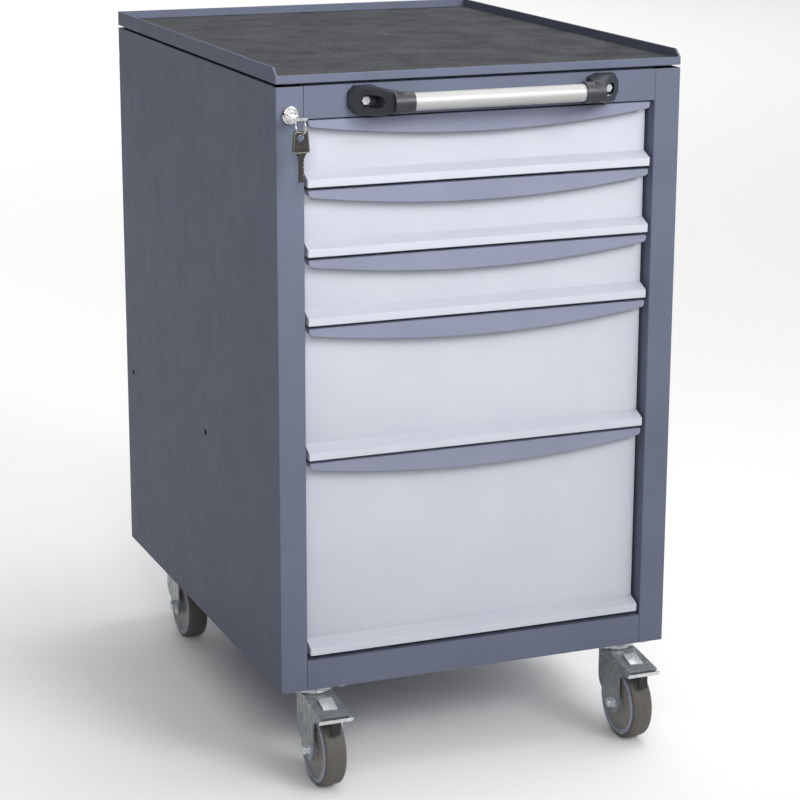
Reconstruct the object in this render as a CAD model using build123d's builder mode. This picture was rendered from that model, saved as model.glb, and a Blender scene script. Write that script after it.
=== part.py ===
"""Mobile workbench with five drawers: steel cabinet, tray top, mat, push handle, lock, four swivel castors.

Millimetres, +Z up. The origin is on the floor, under the middle of the whole bench.
+X is to the right and -Y is the front, where the drawers open.
"""
from build123d import *
import math
import os

os.makedirs("parts", exist_ok=True)

# ---------------------------------------------------------------- driving dimensions
BODY_W = 550.0            # cabinet width
BODY_D = 700.0            # cabinet depth
FRAME_H = 40.0            # height of the top rail and of the bottom rail
STILE_W = 36.0            # width of the upright frame strip each side of the drawers
POST_DEPTH = 40.0         # how far the frame strip folds back beside the drawers
SHEET = 1.25              # cabinet sheet steel
BOLT_EASE = 0.2           # bolt holes are this much larger in radius than their bolts
SEAM = 0.2                # joint line between rail and stile
BEND_EASE = 1.0           # sheets stop this far short of the inside of a bend
FLANGE = 22.0             # folded edges of the cabinet sheets
EAR = 20.0                # rail tabs that lie behind the stiles
RAIL_RETURN = 24.0        # rails fold back this far

UNIT = 87.0               # height of the smallest drawer, from front to front
DRAWER_UNITS = (3, 2, 1, 1, 1)      # drawer heights, from the bottom up
FIRST_LIP = 6.0           # lowest drawer lip above the bottom rail
FRONT_GAP = 4.0           # gap between one front's lip and the next front's top
SIDE_GAP = 4.4            # gap between a front's end and the stile
LIP_H = 10.0              # straight lip along the bottom of a front
FLARE_H = 8.3             # height of the sloped band above the lip
RECESS = 18.0             # how far the flat of a front is set back from its lip
FRONT_SHEET = 1.2         # sheet steel of fronts and drawer boxes
FRONT_DEPTH = 32.0        # overall depth of a front, lip to folded edge

PULL_DROP = 24.0          # height of a pull at the middle
PULL_END = 8.0            # height of a pull at its ends
PULL_LEAN = 4.0           # how far a pull's lower edge leans out
PULL_WEB = 12.0           # strip of a pull that lies on the front
PULL_ROUND = 6.0          # rounded lower corners of a pull

BOX_DEPTH = 610.0         # drawer box, front to back
BOX_FLOOR = 8.0           # drawer floor above the bottom of its front
BOX_HEADROOM = 19.0       # drawer wall below the top of its front
HEM = 7.0                 # folded top edge of a drawer wall
SLIDE_W = 13.0            # space of one slide, from frame to drawer
SLIDE_H = 36.0            # height of the outer slide member
SLIDE_STEP = 5.0          # inner member is this much lower at top and bottom
SLIDE_SHEET = 1.4
SLIDE_NEST = 3.5          # depth left between one member's lips and the other's web
SLIDE_FRONT = 34.0        # front ends of the slides behind the cabinet front
SLIDE_LEN = 635.0         # cabinet members, which reach the rear posts
DRAWER_SLIDE_LEN = 590.0  # drawer members
SLIDE_UP = 20.0           # bottom of the outer member above the drawer floor

TRAY_GAP = 3.6            # shadow gap between cabinet and tray
RIM_H = 19.6              # tray rim at the sides and back
TRAY_LIP_H = 10.2         # tray rim at the front
RIM_T = 3.0               # folded rim thickness
RIM_SLOPE = 12.0          # length of the rim's sloped front end
PLINTH_INSET = 14.0       # the tray's foot frame stands in from the edge
PLINTH_W = 22.0
MAT_T = 7.6
MAT_GAP = 0.5

HANDLE_REACH = 45.0       # middle of the grip tube from the cabinet front
HANDLE_UP = 21.0          # middle of the grip tube above the bottom of the top rail
TUBE_R = 11.0
TUBE_WALL = 1.6
TUBE_SOCKET = 18.0        # depth of the tube in each bracket
COLLAR_R = 13.2
COLLAR_END = 115.0        # inner end of a collar from the middle of the bench
COLLAR_LEN = 26.0
FOOT_END = 183.0          # outer end of a foot from the middle of the bench
FOOT_LEN = 42.0
FOOT_H = 35.0
FOOT_T = 6.0
FOOT_CUT = 8.0            # cut corners of a foot
FOOT_TALL = 31.0          # length of a foot's full height
BRACKET_EDGE = 2.6        # chamfer round the slanted face
BOLT_IN = 19.0            # handle bolt from the foot's outer end
POCKET_W = 15.5
POCKET_LEN = 23.0
POCKET_FLOOR = 10.0       # left under a handle bolt's head
HANDLE_BOLT_R = 3.0
HANDLE_HEAD_AF = 10.0
HANDLE_HEAD_H = 6.0

LOCK_DOWN = 34.0          # lock below the top of the cabinet
LOCK_FACE_R = 11.0
LOCK_FACE_T = 6.0
LOCK_BARREL_R = 9.0
LOCK_BARREL_LEN = 20.0
LOCK_NUT_AF = 24.0
LOCK_NUT_T = 3.0
PLUG_R = 6.0
FIT = 0.06                # running clearance round a turning piece
KEY_T = 2.2
KEY_BLADE_W = 6.6
KEY_BLADE_LEN = 35.0
KEY_STUB = 8.0            # blade showing in front of the lock
KEY_BOW_T = 3.4
KEY_BOW_W = 21.8
KEY_BOW_TOP = 17.4        # the bow narrows toward its end
KEY_BOW_LEN = 27.0
KEY_SHOULDER = 6.0
KEY_HOLE_R = 4.6
KEY_HOLE_EDGE = 3.4       # metal between the hole and the end of the bow
RING_R = 10.7
RING_WIRE = 0.8           # radius of the ring's wire
RING_SLACK = 0.4
RING_TURN = 14.0          # the ring hangs turned by this angle, in degrees
CAM_LEN = 16.0
CAM_W = 9.0
CAM_T = 2.0
BAR_W = 12.0
BAR_T = 2.5

CASTOR_HEAD = 28.0        # top of a wheel to the lower edge of the cabinet
FLOOR_UP = 5.0            # cabinet floor above its lower edge
WHEEL_R = 50.0
WHEEL_W = 30.0
WHEEL_CROWN = 3.0         # rounded shoulders of the tyre
TYRE_SHOW = 4.5           # tyre seen outside the wheel centre's ring
TYRE_KEY = 3.0            # depth of the tyre's seat in the wheel centre
RING_SHOW = 7.5           # width of the wheel centre's raised ring
GUARD_STEP = 1.2
TRAIL = 40.0              # wheel axle ahead of the swivel
CASTOR_IN = 55.0          # swivel from the side of the cabinet
SWIVEL_FRONT = 34.0       # front swivels from the cabinet front
SWIVEL_REAR = 624.0       # rear swivels from the cabinet front
PLATE_L = 80.0
PLATE_B = 60.0
PLATE_T = 3.0
PLATE_BOLTS_L = 62.0
PLATE_BOLTS_B = 44.0
RACE_R = 26.5
RACE_DROP = 11.0          # lower edge of the upper race below the cabinet's edge
RACE_EDGE = 2.4
KINGPIN_R = 5.0
KINGPIN_HEAD_R = 9.0
KINGPIN_HEAD_H = 5.0
SWIVEL_GAP = 0.3
CASTOR_BOLT_R = 4.0
CASTOR_BOLT_AF = 13.0
CASTOR_BOLT_H = 5.3
FORK_T = 2.6
FORK_HALF = 21.0          # outside of a fork leg from the wheel's middle plane
AXLE_R = 4.0
AXLE_AF = 13.0
AXLE_HEAD = 5.5
AXLE_NUT = 7.5
BRAKE_PIVOT_R = 2.5

# ---------------------------------------------------------------- derived places
LIFT = 2 * WHEEL_R + CASTOR_HEAD
PLATE_TOP = LIFT + FLOOR_UP
OPENING_H = sum(DRAWER_UNITS) * UNIT + FRONT_GAP
BODY_H = OPENING_H + 2 * FRAME_H
TOP = LIFT + BODY_H
REACH = HANDLE_REACH + COLLAR_R
FRONT = (REACH - BODY_D) / 2
BACK = FRONT + BODY_D
HALF = BODY_W / 2
OPEN_X = HALF - STILE_W
INNER = HALF - SHEET
RAIL_TOP = LIFT + FRAME_H
RAIL_BOTTOM = TOP - FRAME_H
FRONT_X = OPEN_X - SIDE_GAP
BOX_X = OPEN_X - SLIDE_W
PANEL_Y = FRONT + RECESS
BOX_Y = PANEL_Y + FRONT_SHEET
AXLE_Z = WHEEL_R
RIM_R = WHEEL_R - TYRE_SHOW
TYRE_SEAT_R = RIM_R - TYRE_KEY
GUARD_R = RIM_R - RING_SHOW
CASTOR_X = HALF - CASTOR_IN
LOCK_X = -(HALF - STILE_W / 2)
LOCK_Z = TOP - LOCK_DOWN
GRIP_Y = FRONT - HANDLE_REACH
GRIP_Z = RAIL_BOTTOM + HANDLE_UP
TRAY_Z = TOP + TRAY_GAP


def save(part, name):
    """Label a finished piece and write it to its own file."""
    part.label = name
    export_step(part, f"parts/{name}.step")


def block(x0, x1, y0, y1, z0, z1, mode=Mode.ADD):
    """A plain box between six planes, in the part that is being built."""
    with BuildSketch(Plane.XY.offset(z0)) as outline:
        with Locations(((x0 + x1) / 2, (y0 + y1) / 2)):
            Rectangle(x1 - x0, y1 - y0)
    extrude(outline.sketch, amount=z1 - z0, mode=mode)


def facing(x, y, z):
    """A plane that faces the front of the bench, its own x to the right and its own y up."""
    return Plane((x, y, z), x_dir=(1, 0, 0), z_dir=(0, -1, 0))


def strip(points, thickness, plane, length, both=False, bend=1.6):
    """A sheet bent along the points, its thickness to the left of the line, and as long as given."""
    with BuildSketch(plane) as outline:
        with BuildLine():
            FilletPolyline(*points, radius=bend)
            offset(amount=thickness, side=Side.LEFT)
        make_face()
    extrude(outline.sketch, amount=length, both=both)


def hexagon_head(plane, across_flats, height):
    """A hexagonal head or nut standing on a plane."""
    with BuildSketch(plane) as outline:
        RegularPolygon(across_flats / 2, 6, major_radius=False)
    extrude(outline.sketch, amount=height)


# ---------------------------------------------------------------- cabinet
SIDE_HOLES = ((308.0, 269.0), (665.0, 269.0))     # from the front, above the cabinet's bottom
CORNER_SLOTS = (321.0, 738.0)
SIDE_HOLE_R = 4.6


def side_panel(sign):
    """One side: wall, rear flange, front stile and the post beside the drawers, folded from one sheet."""
    with BuildPart() as side:
        points = [
            (-HALF + FLANGE, BACK),
            (-HALF, BACK),
            (-HALF, FRONT),
            (-OPEN_X, FRONT),
            (-OPEN_X, FRONT + POST_DEPTH),
        ]
        if sign > 0:
            points = [(-x, y) for x, y in reversed(points)]
        strip(points, SHEET, Plane.XY.offset(LIFT), BODY_H)
        post_x = sorted((sign * (OPEN_X - 0.5), sign * (OPEN_X + 2 * SHEET)))
        for z0, z1 in ((LIFT, RAIL_TOP), (RAIL_BOTTOM, TOP)):
            block(*post_x, FRONT + SHEET, FRONT + POST_DEPTH + 1, z0, z1, Mode.SUBTRACT)
        cap_x = sorted((sign * (INNER - FLANGE), sign * (HALF - SHEET / 2)))
        block(*cap_x, FRONT + RAIL_RETURN + 2 * SHEET, BACK - SHEET / 2, TOP - SHEET, TOP)
        for away, up in SIDE_HOLES:
            hole_plane = Plane((sign * HALF, FRONT + away, LIFT + up), z_dir=(sign, 0, 0))
            with BuildSketch(hole_plane):
                Circle(SIDE_HOLE_R)
            extrude(amount=-2 * SHEET, mode=Mode.SUBTRACT)
        for up in CORNER_SLOTS:
            slot_x = sorted((sign * (HALF - 4 * SHEET), sign * (HALF + 1)))
            slot_z = LIFT + up
            block(*slot_x, BACK - 4 * SHEET, BACK + 1, slot_z, slot_z + 2 * SIDE_HOLE_R, Mode.SUBTRACT)
        if sign < 0:
            with BuildSketch(facing(LOCK_X, FRONT, LOCK_Z)):
                Circle(LOCK_BARREL_R)
            extrude(amount=-2 * SHEET, mode=Mode.SUBTRACT)
    return side.part


save(side_panel(-1), "left_side")
save(side_panel(1), "right_side")


def rail(z0, returns):
    """A frame rail between the stiles, with tabs behind them and folded edges at the given heights."""
    with BuildPart() as piece:
        block(-OPEN_X + SEAM, OPEN_X - SEAM, FRONT, FRONT + SHEET, z0, z0 + FRAME_H)
        block(-OPEN_X - EAR, OPEN_X + EAR, FRONT + SHEET, FRONT + 2 * SHEET, z0 + 3, z0 + FRAME_H - 3)
        for z in returns:
            block(-OPEN_X + SEAM, OPEN_X - SEAM, FRONT + SHEET / 2, FRONT + RAIL_RETURN, z, z + SHEET)
        if z0 > LIFT:
            for sign in (-1, 1):
                with BuildSketch(facing(sign * (FOOT_END - BOLT_IN), FRONT, GRIP_Z)):
                    Circle(HANDLE_BOLT_R + BOLT_EASE)
                extrude(amount=-3 * SHEET, mode=Mode.SUBTRACT)
            with BuildSketch(facing(LOCK_X, FRONT, LOCK_Z)):
                Circle(LOCK_NUT_AF / 2 + 3)
            extrude(amount=-3 * SHEET, mode=Mode.SUBTRACT)
    return piece.part


save(rail(RAIL_BOTTOM, (RAIL_BOTTOM, TOP - SHEET)), "top_rail")
save(rail(LIFT, (RAIL_TOP - SHEET,)), "bottom_rail")

BACK_Y = BACK - SHEET
with BuildPart() as back_panel:
    block(-INNER + BEND_EASE, INNER - BEND_EASE, BACK_Y - SHEET, BACK_Y, LIFT, TOP - SHEET)
save(back_panel.part, "back_panel")

SWIVELS = [
    (name, sx * CASTOR_X, FRONT + away, braked)
    for name, sx, away, braked in (
        ("front_left", -1, SWIVEL_FRONT, True),
        ("front_right", 1, SWIVEL_FRONT, True),
        ("rear_left", -1, SWIVEL_REAR, False),
        ("rear_right", 1, SWIVEL_REAR, False),
    )
]


def at_plate_bolts(z):
    """Places of the sixteen castor bolts at one height."""
    return [
        (x + i * PLATE_BOLTS_L / 2, y + j * PLATE_BOLTS_B / 2, z)
        for _, x, y, _ in SWIVELS
        for i in (-1, 1)
        for j in (-1, 1)
    ]


FLOOR_FRONT = FRONT + 2 * SHEET
FLOOR_BACK = BACK_Y - SHEET
with BuildPart() as bottom_panel:
    block(-INNER, INNER, FLOOR_FRONT, FLOOR_BACK, PLATE_TOP, PLATE_TOP + SHEET)
    block(-INNER, INNER, FLOOR_FRONT, FLOOR_FRONT + SHEET, PLATE_TOP, LIFT + FLANGE)
    block(-INNER, INNER, FLOOR_BACK - SHEET, FLOOR_BACK, PLATE_TOP, LIFT + FLANGE)
    for sx in (-1, 1):
        wall = sorted((sx * INNER, sx * (INNER - SHEET)))
        block(*wall, FLOOR_FRONT, FLOOR_BACK, PLATE_TOP, LIFT + FLANGE)
    with Locations(*at_plate_bolts(PLATE_TOP)):
        Cylinder(CASTOR_BOLT_R + BOLT_EASE, 4 * SHEET, mode=Mode.SUBTRACT)
save(bottom_panel.part, "bottom_panel")

REAR_POST = 46.0          # rear posts stand this far in from the back
with BuildPart() as rear_posts:
    for sx in (-1, 1):
        y0 = BACK - REAR_POST
        wall = sorted((sx * (INNER - SHEET), sx * OPEN_X))
        block(*wall, y0, y0 + SHEET, PLATE_TOP + SHEET, TOP - SHEET)
        block(*wall, y0 + FLANGE - SHEET, y0 + FLANGE, PLATE_TOP + SHEET, TOP - SHEET)
        face = sorted((sx * OPEN_X, sx * (OPEN_X + SHEET)))
        block(*face, y0, y0 + FLANGE, PLATE_TOP + SHEET, TOP - SHEET)
save(rear_posts.part, "rear_posts")

# ---------------------------------------------------------------- tray top and mat
with BuildPart() as tray_top:
    block(-HALF, HALF, FRONT, BACK, TRAY_Z, TRAY_Z + SHEET)
    for sx in (-1, 1):
        rim_plane = Plane.YZ.offset(min(sx * HALF, sx * (HALF - RIM_T)))
        with BuildSketch(rim_plane):
            with BuildLine():
                Polyline(
                    (FRONT, TRAY_Z),
                    (BACK, TRAY_Z),
                    (BACK, TRAY_Z + RIM_H),
                    (FRONT + RIM_SLOPE, TRAY_Z + RIM_H),
                    (FRONT, TRAY_Z + TRAY_LIP_H),
                    close=True,
                )
            make_face()
        extrude(amount=RIM_T)
    block(-HALF, HALF, BACK - RIM_T, BACK, TRAY_Z, TRAY_Z + RIM_H)
    block(-HALF, HALF, FRONT, FRONT + RIM_T, TRAY_Z, TRAY_Z + TRAY_LIP_H)
    with BuildSketch(Plane.XY.offset(TOP)):
        with Locations((0, (FRONT + BACK) / 2)):
            Rectangle(BODY_W - 2 * PLINTH_INSET, BODY_D - 2 * PLINTH_INSET)
            hole = 2 * (PLINTH_INSET + PLINTH_W)
            Rectangle(BODY_W - hole, BODY_D - hole, mode=Mode.SUBTRACT)
    extrude(amount=TRAY_GAP)
    rim_corners = tray_top.edges().filter_by(Axis.Z).filter_by_position(Axis.Z, TRAY_Z, TRAY_Z + RIM_H)
    fillet(rim_corners.filter_by(lambda edge: abs(edge.center().X) > HALF - 0.1), 1.5)
save(tray_top.part, "tray_top")

MAT_X = HALF - RIM_T - MAT_GAP
MAT_Z = TRAY_Z + SHEET
with BuildPart() as rubber_mat:
    block(-MAT_X, MAT_X, FRONT + RIM_T + MAT_GAP, BACK - RIM_T - MAT_GAP, MAT_Z, MAT_Z + MAT_T)
    fillet(rubber_mat.edges().filter_by(Axis.Z), 4)
    chamfer(rubber_mat.faces().sort_by(Axis.Z)[-1].edges(), 0.8)
save(rubber_mat.part, "rubber_mat")

# ---------------------------------------------------------------- push handle
FACE_Y = GRIP_Y - COLLAR_R


def bracket_arm(sign):
    """Foot and arm in one: slanted in plan, tall at the foot and as high as the collar beyond it."""
    collar_out = COLLAR_END + COLLAR_LEN
    half, slim = FOOT_H / 2, COLLAR_R
    elevation = [
        (FOOT_END, FOOT_CUT - half),
        (FOOT_END - FOOT_CUT, -half),
        (FOOT_END - FOOT_TALL, -half),
        (collar_out, -slim),
        (COLLAR_END + 2, -slim),
    ]
    elevation += [(x, -z) for x, z in reversed(elevation)]
    with BuildPart() as arm:
        with BuildSketch(Plane.XY.offset(GRIP_Z - half)):
            with BuildLine():
                Polyline(
                    (sign * FOOT_END, FRONT),
                    (sign * FOOT_END, FRONT - FOOT_T),
                    (sign * (collar_out - 5), FACE_Y + 5),
                    (sign * (collar_out - 12), FACE_Y + 5),
                    (sign * (collar_out - 12), GRIP_Y),
                    (sign * (FOOT_END - FOOT_LEN), FRONT - FOOT_T),
                    (sign * (FOOT_END - FOOT_LEN), FRONT),
                    close=True,
                )
            make_face()
        extrude(amount=FOOT_H)
        with BuildSketch(facing(0, FRONT, GRIP_Z)):
            with BuildLine():
                Polyline(*[(sign * x, z) for x, z in elevation], close=True)
            make_face()
        extrude(amount=REACH, mode=Mode.INTERSECT)
        slant = arm.faces().filter_by(Plane.XY, reverse=True).sort_by(Axis((0, 0, 0), (sign, -1, 0)))[-1]
        chamfer(slant.edges().filter_by(Axis.Z, reverse=True), BRACKET_EDGE)
    return arm.part


def handle_bracket(sign):
    """One moulded bracket: foot on the rail, slanted arm with a bolt pocket, and the tube's collar."""
    bolt_x = FOOT_END - BOLT_IN
    with BuildPart() as bracket:
        add(bracket_arm(sign))
        with BuildSketch(Plane((sign * COLLAR_END, GRIP_Y, GRIP_Z), z_dir=(sign, 0, 0))):
            Circle(COLLAR_R)
        extrude(amount=COLLAR_LEN)
        with BuildSketch(Plane((sign * COLLAR_END, GRIP_Y, GRIP_Z), z_dir=(sign, 0, 0))):
            Circle(TUBE_R)
        extrude(amount=TUBE_SOCKET, mode=Mode.SUBTRACT)
        pocket_x = bolt_x - (POCKET_LEN - POCKET_W) / 2
        with BuildSketch(facing(sign * pocket_x, FRONT - POCKET_FLOOR, GRIP_Z)):
            SlotOverall(POCKET_LEN, POCKET_W)
        extrude(amount=REACH, mode=Mode.SUBTRACT)
        with BuildSketch(facing(sign * bolt_x, FRONT, GRIP_Z)):
            Circle(HANDLE_BOLT_R + BOLT_EASE)
        extrude(amount=POCKET_FLOOR, mode=Mode.SUBTRACT)
    return bracket.part


save(handle_bracket(-1), "handle_bracket_left")
save(handle_bracket(1), "handle_bracket_right")

TUBE_HALF = COLLAR_END + TUBE_SOCKET
with BuildPart() as handle_tube:
    with BuildSketch(Plane((-TUBE_HALF, GRIP_Y, GRIP_Z), z_dir=(1, 0, 0))):
        Circle(TUBE_R)
        Circle(TUBE_R - TUBE_WALL, mode=Mode.SUBTRACT)
    extrude(amount=2 * TUBE_HALF)
save(handle_tube.part, "handle_tube")

with BuildPart() as handle_bolts:
    for sx in (-1, 1):
        bolt_x = sx * (FOOT_END - BOLT_IN)
        head = facing(bolt_x, FRONT - POCKET_FLOOR, GRIP_Z)
        hexagon_head(head, HANDLE_HEAD_AF, HANDLE_HEAD_H)
        with BuildSketch(head):
            Circle(HANDLE_BOLT_R)
        extrude(amount=-(POCKET_FLOOR + 2 * SHEET + HANDLE_HEAD_H + 1))
        behind = Plane((bolt_x, FRONT + 2 * SHEET, GRIP_Z), z_dir=(0, 1, 0))
        hexagon_head(behind, HANDLE_HEAD_AF, HANDLE_HEAD_H)
save(handle_bolts.part, "handle_bolts")

# ---------------------------------------------------------------- lock and keys
LOCK_PLANE = facing(LOCK_X, FRONT, LOCK_Z)
with BuildPart() as lock_housing:
    with BuildSketch(LOCK_PLANE):
        Circle(LOCK_FACE_R)
    extrude(amount=LOCK_FACE_T)
    chamfer(lock_housing.faces().sort_by(Axis.Y)[0].edges(), 1.6)
    with BuildSketch(LOCK_PLANE):
        Circle(LOCK_BARREL_R)
    extrude(amount=-LOCK_BARREL_LEN)
    hexagon_head(LOCK_PLANE.offset(-SHEET - LOCK_NUT_T), LOCK_NUT_AF, LOCK_NUT_T)
    with BuildSketch(LOCK_PLANE.offset(LOCK_FACE_T)):
        Circle(PLUG_R + FIT)
    extrude(amount=-(LOCK_FACE_T + LOCK_BARREL_LEN), mode=Mode.SUBTRACT)
save(lock_housing.part, "lock_housing")

with BuildPart() as lock_plug:
    with BuildSketch(LOCK_PLANE.offset(LOCK_FACE_T - 0.4)):
        Circle(PLUG_R)
    extrude(amount=-(LOCK_FACE_T + LOCK_BARREL_LEN + 0.6))
    with BuildSketch(LOCK_PLANE.offset(-LOCK_BARREL_LEN - 0.2)):
        Circle(CAM_W)
        with Locations((0, CAM_LEN / 2)):
            Rectangle(CAM_W, CAM_LEN)
    extrude(amount=-CAM_T)
    with BuildSketch(LOCK_PLANE.offset(LOCK_FACE_T)):
        Rectangle(KEY_BLADE_W + 2 * FIT, KEY_T)
    extrude(amount=-(KEY_BLADE_LEN - KEY_STUB + 1), mode=Mode.SUBTRACT)
save(lock_plug.part, "lock_plug")


KEY_TEETH = ((5.0, 2.2), (9.5, 2.9), (14.0, 2.0), (18.5, 2.7), (23.0, 2.1))
KEY_HOLE_UP = KEY_BLADE_LEN + KEY_BOW_LEN - KEY_HOLE_EDGE - KEY_HOLE_R


def key_on(plane):
    """A cut key in a plane: blade up from the tip at the plane's origin, and the thicker bow above it."""
    with BuildPart() as key:
        with BuildSketch(plane):
            with Locations((0, KEY_BLADE_LEN / 2)):
                Rectangle(KEY_BLADE_W, KEY_BLADE_LEN)
            for place, depth in KEY_TEETH:
                with Locations((KEY_BLADE_W / 2, place)):
                    RegularPolygon(depth, 3, rotation=180, mode=Mode.SUBTRACT)
                with Locations((-KEY_BLADE_W / 2, place + depth)):
                    RegularPolygon(depth / 2, 3, mode=Mode.SUBTRACT)
        extrude(amount=KEY_T / 2, both=True)
        with BuildSketch(plane) as bow:
            with BuildLine():
                Polyline(
                    (-KEY_BLADE_W / 2, KEY_BLADE_LEN - KEY_SHOULDER),
                    (-KEY_BLADE_W, KEY_BLADE_LEN),
                    (-KEY_BOW_W / 2, KEY_BLADE_LEN + 2),
                    (-KEY_BOW_TOP / 2, KEY_BLADE_LEN + KEY_BOW_LEN),
                    (KEY_BOW_TOP / 2, KEY_BLADE_LEN + KEY_BOW_LEN),
                    (KEY_BOW_W / 2, KEY_BLADE_LEN + 2),
                    (KEY_BLADE_W, KEY_BLADE_LEN),
                    (KEY_BLADE_W / 2, KEY_BLADE_LEN - KEY_SHOULDER),
                    close=True,
                )
            make_face()
            fillet(bow.vertices(), 1.2)
            with Locations((0, KEY_HOLE_UP)):
                Circle(KEY_HOLE_R, mode=Mode.SUBTRACT)
        extrude(amount=KEY_BOW_T / 2, both=True)
    return key.part


KEY_TIP_Y = FRONT - LOCK_FACE_T - KEY_STUB + KEY_BLADE_LEN
save(key_on(Plane((LOCK_X, KEY_TIP_Y, LOCK_Z), x_dir=(-1, 0, 0), z_dir=(0, 0, 1))), "key_in_lock")

RING_Y = KEY_TIP_Y - KEY_BLADE_LEN - KEY_BOW_LEN + KEY_HOLE_EDGE / 2
RING_Z = LOCK_Z + KEY_BOW_T / 2 + RING_SLACK + RING_WIRE - RING_R
turn = math.radians(RING_TURN)
with BuildPart() as key_ring:
    with BuildSketch(Plane((LOCK_X, RING_Y, RING_Z + RING_R), z_dir=(math.sin(turn), -math.cos(turn), 0))):
        Circle(RING_WIRE)
    revolve(axis=Axis((LOCK_X, RING_Y, RING_Z), (math.cos(turn), math.sin(turn), 0)), revolution_arc=360)
save(key_ring.part, "key_ring")

SPARE_TIP_Z = RING_Z - RING_R + RING_WIRE + RING_SLACK - KEY_HOLE_R - KEY_HOLE_UP
save(key_on(facing(LOCK_X, RING_Y, SPARE_TIP_Z)), "spare_key")

BAR_Y = FRONT + LOCK_BARREL_LEN + CAM_T + 3
with BuildPart() as lock_bar:
    block(LOCK_X - BAR_W / 2, LOCK_X + BAR_W / 2, BAR_Y, BAR_Y + BAR_T, RAIL_TOP, LOCK_Z + CAM_LEN)
    lip_z = RAIL_TOP + FIRST_LIP
    for units in DRAWER_UNITS:
        lip_z += units * UNIT
        block(LOCK_X, -OPEN_X - 2 * SHEET, BAR_Y, BAR_Y + BAR_T, lip_z - 40, lip_z - 28)
save(lock_bar.part, "lock_bar")


# ---------------------------------------------------------------- drawers
def drawer_front(z0, height):
    """A folded front: flat field, band flaring out below it, straight lip, and edges folded back."""
    profile = [
        (PANEL_Y, z0 + height),
        (PANEL_Y, z0 + LIP_H + FLARE_H),
        (FRONT, z0 + LIP_H),
        (FRONT, z0),
        (FRONT + FRONT_DEPTH, z0),
        (FRONT + FRONT_DEPTH, z0 + height),
    ]
    with BuildPart() as front:
        with BuildSketch(Plane.YZ):
            with BuildLine():
                Polyline(*profile, close=True)
            make_face()
        extrude(amount=FRONT_X, both=True)
        fillet(front.edges().filter_by(Axis.Z).group_by(Axis.Y)[0], 1.6)
        fillet(front.edges().filter_by(Axis.X).group_by(Axis.Y)[0].sort_by(Axis.Z)[0], 1.2)
        with BuildSketch(Plane.YZ):
            with BuildLine():
                Polyline(*profile, close=True)
            make_face()
            offset(amount=-FRONT_SHEET, kind=Kind.INTERSECTION)
        extrude(amount=FRONT_X - FRONT_SHEET, both=True, mode=Mode.SUBTRACT)
        block(
            -FRONT_X + FRONT_SHEET, FRONT_X - FRONT_SHEET,
            FRONT + FRONT_DEPTH - 2 * FRONT_SHEET, FRONT + FRONT_DEPTH + 1,
            z0 + FRONT_SHEET, z0 + height - FRONT_SHEET, Mode.SUBTRACT,
        )
    return front.part


def drawer_pull(top):
    """A channel along the top of a front, its outer wall cut to a long shallow arc below."""
    half = FRONT_X - 1.5
    with BuildPart() as pull:
        points = [
            (PANEL_Y, top - PULL_WEB),
            (PANEL_Y, top),
            (FRONT + PULL_LEAN / 2, top),
            (FRONT - PULL_LEAN / 2, top - PULL_DROP),
        ]
        strip(points, FRONT_SHEET, Plane.YZ, half, both=True)
        with BuildSketch(Plane.XZ.offset(-BACK)) as lens:
            with BuildLine():
                Polyline((-half, top - PULL_END), (-half, top), (half, top), (half, top - PULL_END))
                ThreePointArc((half, top - PULL_END), (0, top - PULL_DROP), (-half, top - PULL_END))
            make_face()
            fillet(lens.vertices().group_by(Axis.Y)[0], PULL_ROUND)
        extrude(amount=2 * BODY_D, mode=Mode.INTERSECT)
    return pull.part


def drawer_box(z0, height):
    """The drawer's open box, with folded top edges."""
    z1 = z0 + BOX_FLOOR
    z2 = z0 + height - BOX_HEADROOM
    y1 = BOX_Y + BOX_DEPTH
    t = FRONT_SHEET
    with BuildPart() as box:
        block(-BOX_X, BOX_X, BOX_Y, y1, z1, z2)
        block(-BOX_X + t, BOX_X - t, BOX_Y + t, y1 - t, z1 + t, z2 - HEM, Mode.SUBTRACT)
        block(-BOX_X + 2 * t, BOX_X - 2 * t, BOX_Y + 2 * t, y1 - 2 * t, z2 - 2 * HEM, z2 + 1, Mode.SUBTRACT)
    return box.part


def slide_member(inner, outer, z0, z1, length):
    """Both slides' members of one kind: webs at inner, lips reaching to outer, open to the other member."""
    y0 = FRONT + SLIDE_FRONT
    toward = math.copysign(1, outer - inner)
    with BuildPart() as member:
        for sx in (-1, 1):
            web = sorted((sx * inner, sx * (inner + toward * SLIDE_SHEET)))
            lips = sorted((sx * inner, sx * outer))
            block(*web, y0, y0 + length, z0, z1)
            block(*lips, y0, y0 + length, z0, z0 + SLIDE_SHEET)
            block(*lips, y0, y0 + length, z1 - SLIDE_SHEET, z1)
    return member.part


cabinet_members = []
lip_z = RAIL_TOP + FIRST_LIP
count = len(DRAWER_UNITS)
for index, units in enumerate(DRAWER_UNITS):
    number = count - index          # drawer 1 is at the top
    height = units * UNIT - FRONT_GAP
    save(drawer_front(lip_z, height), f"drawer_{number}_front")
    save(drawer_pull(lip_z + height), f"drawer_{number}_pull")
    save(drawer_box(lip_z, height), f"drawer_{number}_box")
    rail_z = lip_z + BOX_FLOOR + SLIDE_UP
    outer_member = slide_member(OPEN_X, BOX_X + SLIDE_NEST, rail_z, rail_z + SLIDE_H, SLIDE_LEN)
    inner_member = slide_member(
        BOX_X, OPEN_X - SLIDE_NEST, rail_z + SLIDE_STEP, rail_z + SLIDE_H - SLIDE_STEP, DRAWER_SLIDE_LEN
    )
    cabinet_members += outer_member.solids()
    save(inner_member, f"drawer_{number}_slides")
    lip_z += units * UNIT
save(Compound(children=cabinet_members), "cabinet_slides")


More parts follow.
